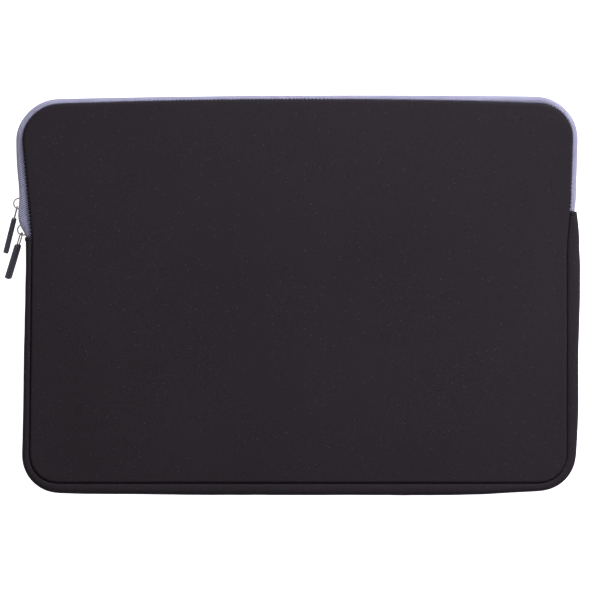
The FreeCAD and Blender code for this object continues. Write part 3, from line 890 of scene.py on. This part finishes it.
mouth = panelValues["outline"][1:5]
mouthEnds = [(*corner[:2], 0) for corner in (mouth[0], mouth[3])]
mouthCorners = [mouthEnds[0], *mouth[1:3], mouthEnds[1]]
mouthPath = arched(roundedPath(mouthCorners, 1.0, panelValues["soften"]), panelArch)
for side, flip in (("front", False), ("back", True)):
    seamRow = stitchRow(f"seamStitches{side.title()}", mouthPath, seamThread, flip)
    coilRow = stitchRow(f"coilStitches{side.title()}", zipPath, coilThread, flip)
    if flip:
        dress(seamRow, blackThread, "thread", "seam_thread_back")
        dress(coilRow, greyThread, "coil_thread", "coil_thread_back")
        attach(seamRow, "sleeve")
        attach(coilRow, "sleeve")
    else:
        dress(seamRow, blackThread, "thread", *frontNodes("seam_thread"))
        dress(coilRow, greyThread, "coil_thread", *frontNodes("coil_thread"))
        foldWithFlap(seamRow)
        foldWithFlap(coilRow)


# An end tack: upright stitches side by side across both tapes.
def makeTack(name, fromEnd, node):
    look = tackThread
    distance = np.array(look["apart"]) * mm
    distance = zipPath["length"] - distance if fromEnd else distance
    point, way, out = placeOn(zipPath, distance)
    level = np.ones((len(distance), 1))
    ups = np.concatenate([out, 0 * level], axis=1)
    origins = np.concatenate([point + out * look["out"] * mm, level * midHeight], axis=1)
    upright = level * (0.0, 0.0, 1.0)
    tack = makeCopies(name, *oneStitch(look), origins, upright, np.cross(ups, upright), ups)
    dress(tack, blackThread, "thread", node)
    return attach(tack, "sleeve")


makeTack("endTackLeft", False, "zip_end_tack_left")
makeTack("endTackRight", True, "zip_end_tack_right")


bindingValues = {
    "below": 1.75,            # mm under the lining
    "thick": 0.55,
    "curve": [(-12.0, 0.15), (-11.0, -0.05), (-9.5, 0), (-8.0, -0.05), (-7.0, 0.15)],
}


# The ribbon over the seam inside: a flat band whose two edges curl a little towards the lining.
def bindingPoints():
    low = under - liningValues["thick"] - bindingValues["below"]
    curve = np.array(bindingValues["curve"]) + (0, low)
    band = splineWeights(len(curve), 9) @ curve * mm
    return carried(outlineFine, walled(band[::-1], 0, -bindingValues["thick"] * mm))


bindingFront = makeSurface("bindingFront", bindingPoints(), closedAlong=True, closedAcross=True)
dress(bindingFront, ribbonWeave, "binding_ribbon", "seam_binding_front_lower", "seam_binding_front_flap")
foldWithFlap(bindingFront)
bindingBack = makeSurface("bindingBack", flippedOver(bindingPoints()), closedAlong=True, closedAcross=True)
dress(bindingBack, ribbonWeave, "binding_ribbon", "seam_binding_back")
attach(bindingBack, "sleeve")
print("zip, threads and bindings made")


gripValues = {
    "ribs": 7,
    "ribDepth": 0.035,
    "ribsEnd": 0.93,          # share of the half length where the ribs run out, and where the foot flares
    "edge": 0.05,
    "squareness": 4.5,
    "endRound": 16.0,
    "taper": 0.025,
    "footFlare": 0.03,
    "fuller": 1.1,
}


# The three directions a CAD bar runs in, longest first, with its middle and half sizes along them.
def barAxes(node, near):
    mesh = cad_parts[node].data
    points = np.empty(len(mesh.vertices) * 3)
    mesh.vertices.foreach_get("co", points)
    points = points.reshape(-1, 3)
    middle = (points.max(axis=0) + points.min(axis=0)) / 2
    _, _, axes = np.linalg.svd(points - points.mean(axis=0), full_matrices=False)
    if np.dot(middle - near, axes[0]) < 0:
        axes[0] = -axes[0]
    spread = (points - points.mean(axis=0)) @ axes.T
    centre = points.mean(axis=0) + ((spread.max(axis=0) + spread.min(axis=0)) / 2) @ axes
    return centre, axes, (spread.max(axis=0) - spread.min(axis=0)) / 2


# A moulded grip: a rounded rectangle |cos|^k, |sin|^k carried along the bar, shrinking to a point at both
# ends as (1 - t^e)^(1/e), with lengthwise ribs as a cosine round it and a lip at its foot.
def makeGrip(side):
    look = gripValues
    loopLow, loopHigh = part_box(f"{side}_pull_loop")
    near = (np.array(loopLow) + np.array(loopHigh)) / 2
    centre, axes, half = barAxes(f"{side}_pull_grip", near)
    t = np.sin(np.linspace(-math.pi / 2, math.pi / 2, 61))[:, None]
    around = np.linspace(0, 2 * math.pi, 72, endpoint=False)[None]
    close = (1 - np.abs(t) ** look["endRound"]) ** (1 / look["endRound"])
    fading = easeIn((look["ribsEnd"] - np.abs(t)) / look["edge"])
    ribs = 1 + look["ribDepth"] * (np.cos(around * 2 * look["ribs"]) - 1) / 2 * fading
    flare = look["footFlare"] * np.exp(-((t - look["ribsEnd"]) / look["edge"]) ** 2)
    taper = 1 - look["taper"] + look["taper"] * t + flare
    power = 2 / look["squareness"]
    swell = close * ribs * taper
    wide = squaredOff(np.cos(around), power) * swell * half[1] * look["fuller"]
    thin = squaredOff(np.sin(around), power) * swell * half[2]
    grid = centre + t[..., None] * axes[0] * half[0] + wide[..., None] * axes[1] + thin[..., None] * axes[2]
    grip = makeSurface(f"{side}Grip", grid, closedAcross=True, weld=True)
    dress(grip, gripRubber, "pull_grip", f"{side}_pull_grip")
    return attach(grip, f"{side}_pull")


for side in ("upper", "lower"):
    makeGrip(side)
    for node in ("slider_body", "slider_bridge", "pull_loop"):
        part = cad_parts[f"{side}_{node}"]
        part.data.materials.clear()
        part.data.materials.append(nickel)
print("pulls made")


studio = {
    "cameraHeight": 2.998, "lens": 250.0, "lookAt": (1.43, -3.2),
    "keyPlace": (0.62, 1.05, 0.85), "keyPower": 36.0, "fillPlace": (1.2, 0.1, 0.8), "fillPower": 4.0,
    "softboxSize": 0.8, "skyAbove": 1.05, "skyAround": 0.20, "floorSize": 8, "floorGlow": 1.1,
}


def makeFloor():
    bpy.ops.mesh.primitive_plane_add(size=studio["floorSize"], location=(0, 0, -0.4 * mm))
    floor = bpy.context.object
    floor.name = "studioFloor"
    material, tree, shader = newFinish("palePaper", (0.9, 0.9, 0.9), 0.9)
    shader.inputs["Emission Color"].default_value = (1, 1, 1, 1)
    seen = addNode(tree, "ShaderNodeLightPath").outputs["Is Camera Ray"]
    tree.links.new(scaled(tree, seen, studio["floorGlow"]), shader.inputs["Emission Strength"])
    floor.data.materials.append(material)


# A softbox turned towards the middle of the sleeve.
def addArea(name, place, power):
    light = bpy.data.lights.new(name, "AREA")
    light.energy, light.size = power, studio["softboxSize"]
    lamp = bpy.data.objects.new(name, light)
    lamp.location = place
    x, y, z = place
    lamp.rotation_euler = (math.atan2(math.hypot(x, y), z), 0, math.atan2(-y, -x) - math.pi / 2)
    bpy.context.collection.objects.link(lamp)


makeFloor()
addArea("keySoftbox", studio["keyPlace"], studio["keyPower"])
addArea("fillSoftbox", studio["fillPlace"], studio["fillPower"])


# The sky is brightest overhead and falls off towards the horizon with the fourth power of the height.
def makeSky():
    world = bpy.context.scene.world or bpy.data.worlds.new("studioSky")
    bpy.context.scene.world = world
    world.use_nodes = True
    tree = world.node_tree
    background = tree.nodes["Background"]
    height = axesOf(tree, placeIn(tree, "Generated"))[2]
    raised = calc(tree, "POWER", calc(tree, "MAXIMUM", height, 0.0), 4.0)
    strength = mapRange(tree, raised, 0.0, 1.0, studio["skyAround"], studio["skyAbove"])
    background.inputs[0].default_value = (1, 1, 1, 1)
    tree.links.new(strength, background.inputs[1])


makeSky()

cameraData = bpy.data.cameras.new("camera")
cameraData.lens = studio["lens"]
cameraData.clip_end = 20
camera = bpy.data.objects.new("camera", cameraData)
camera.location = (studio["lookAt"][0] * mm, studio["lookAt"][1] * mm, studio["cameraHeight"])
bpy.context.collection.objects.link(camera)
bpy.context.scene.camera = camera
bpy.context.scene.view_settings.view_transform = "Standard"
print("studio made")
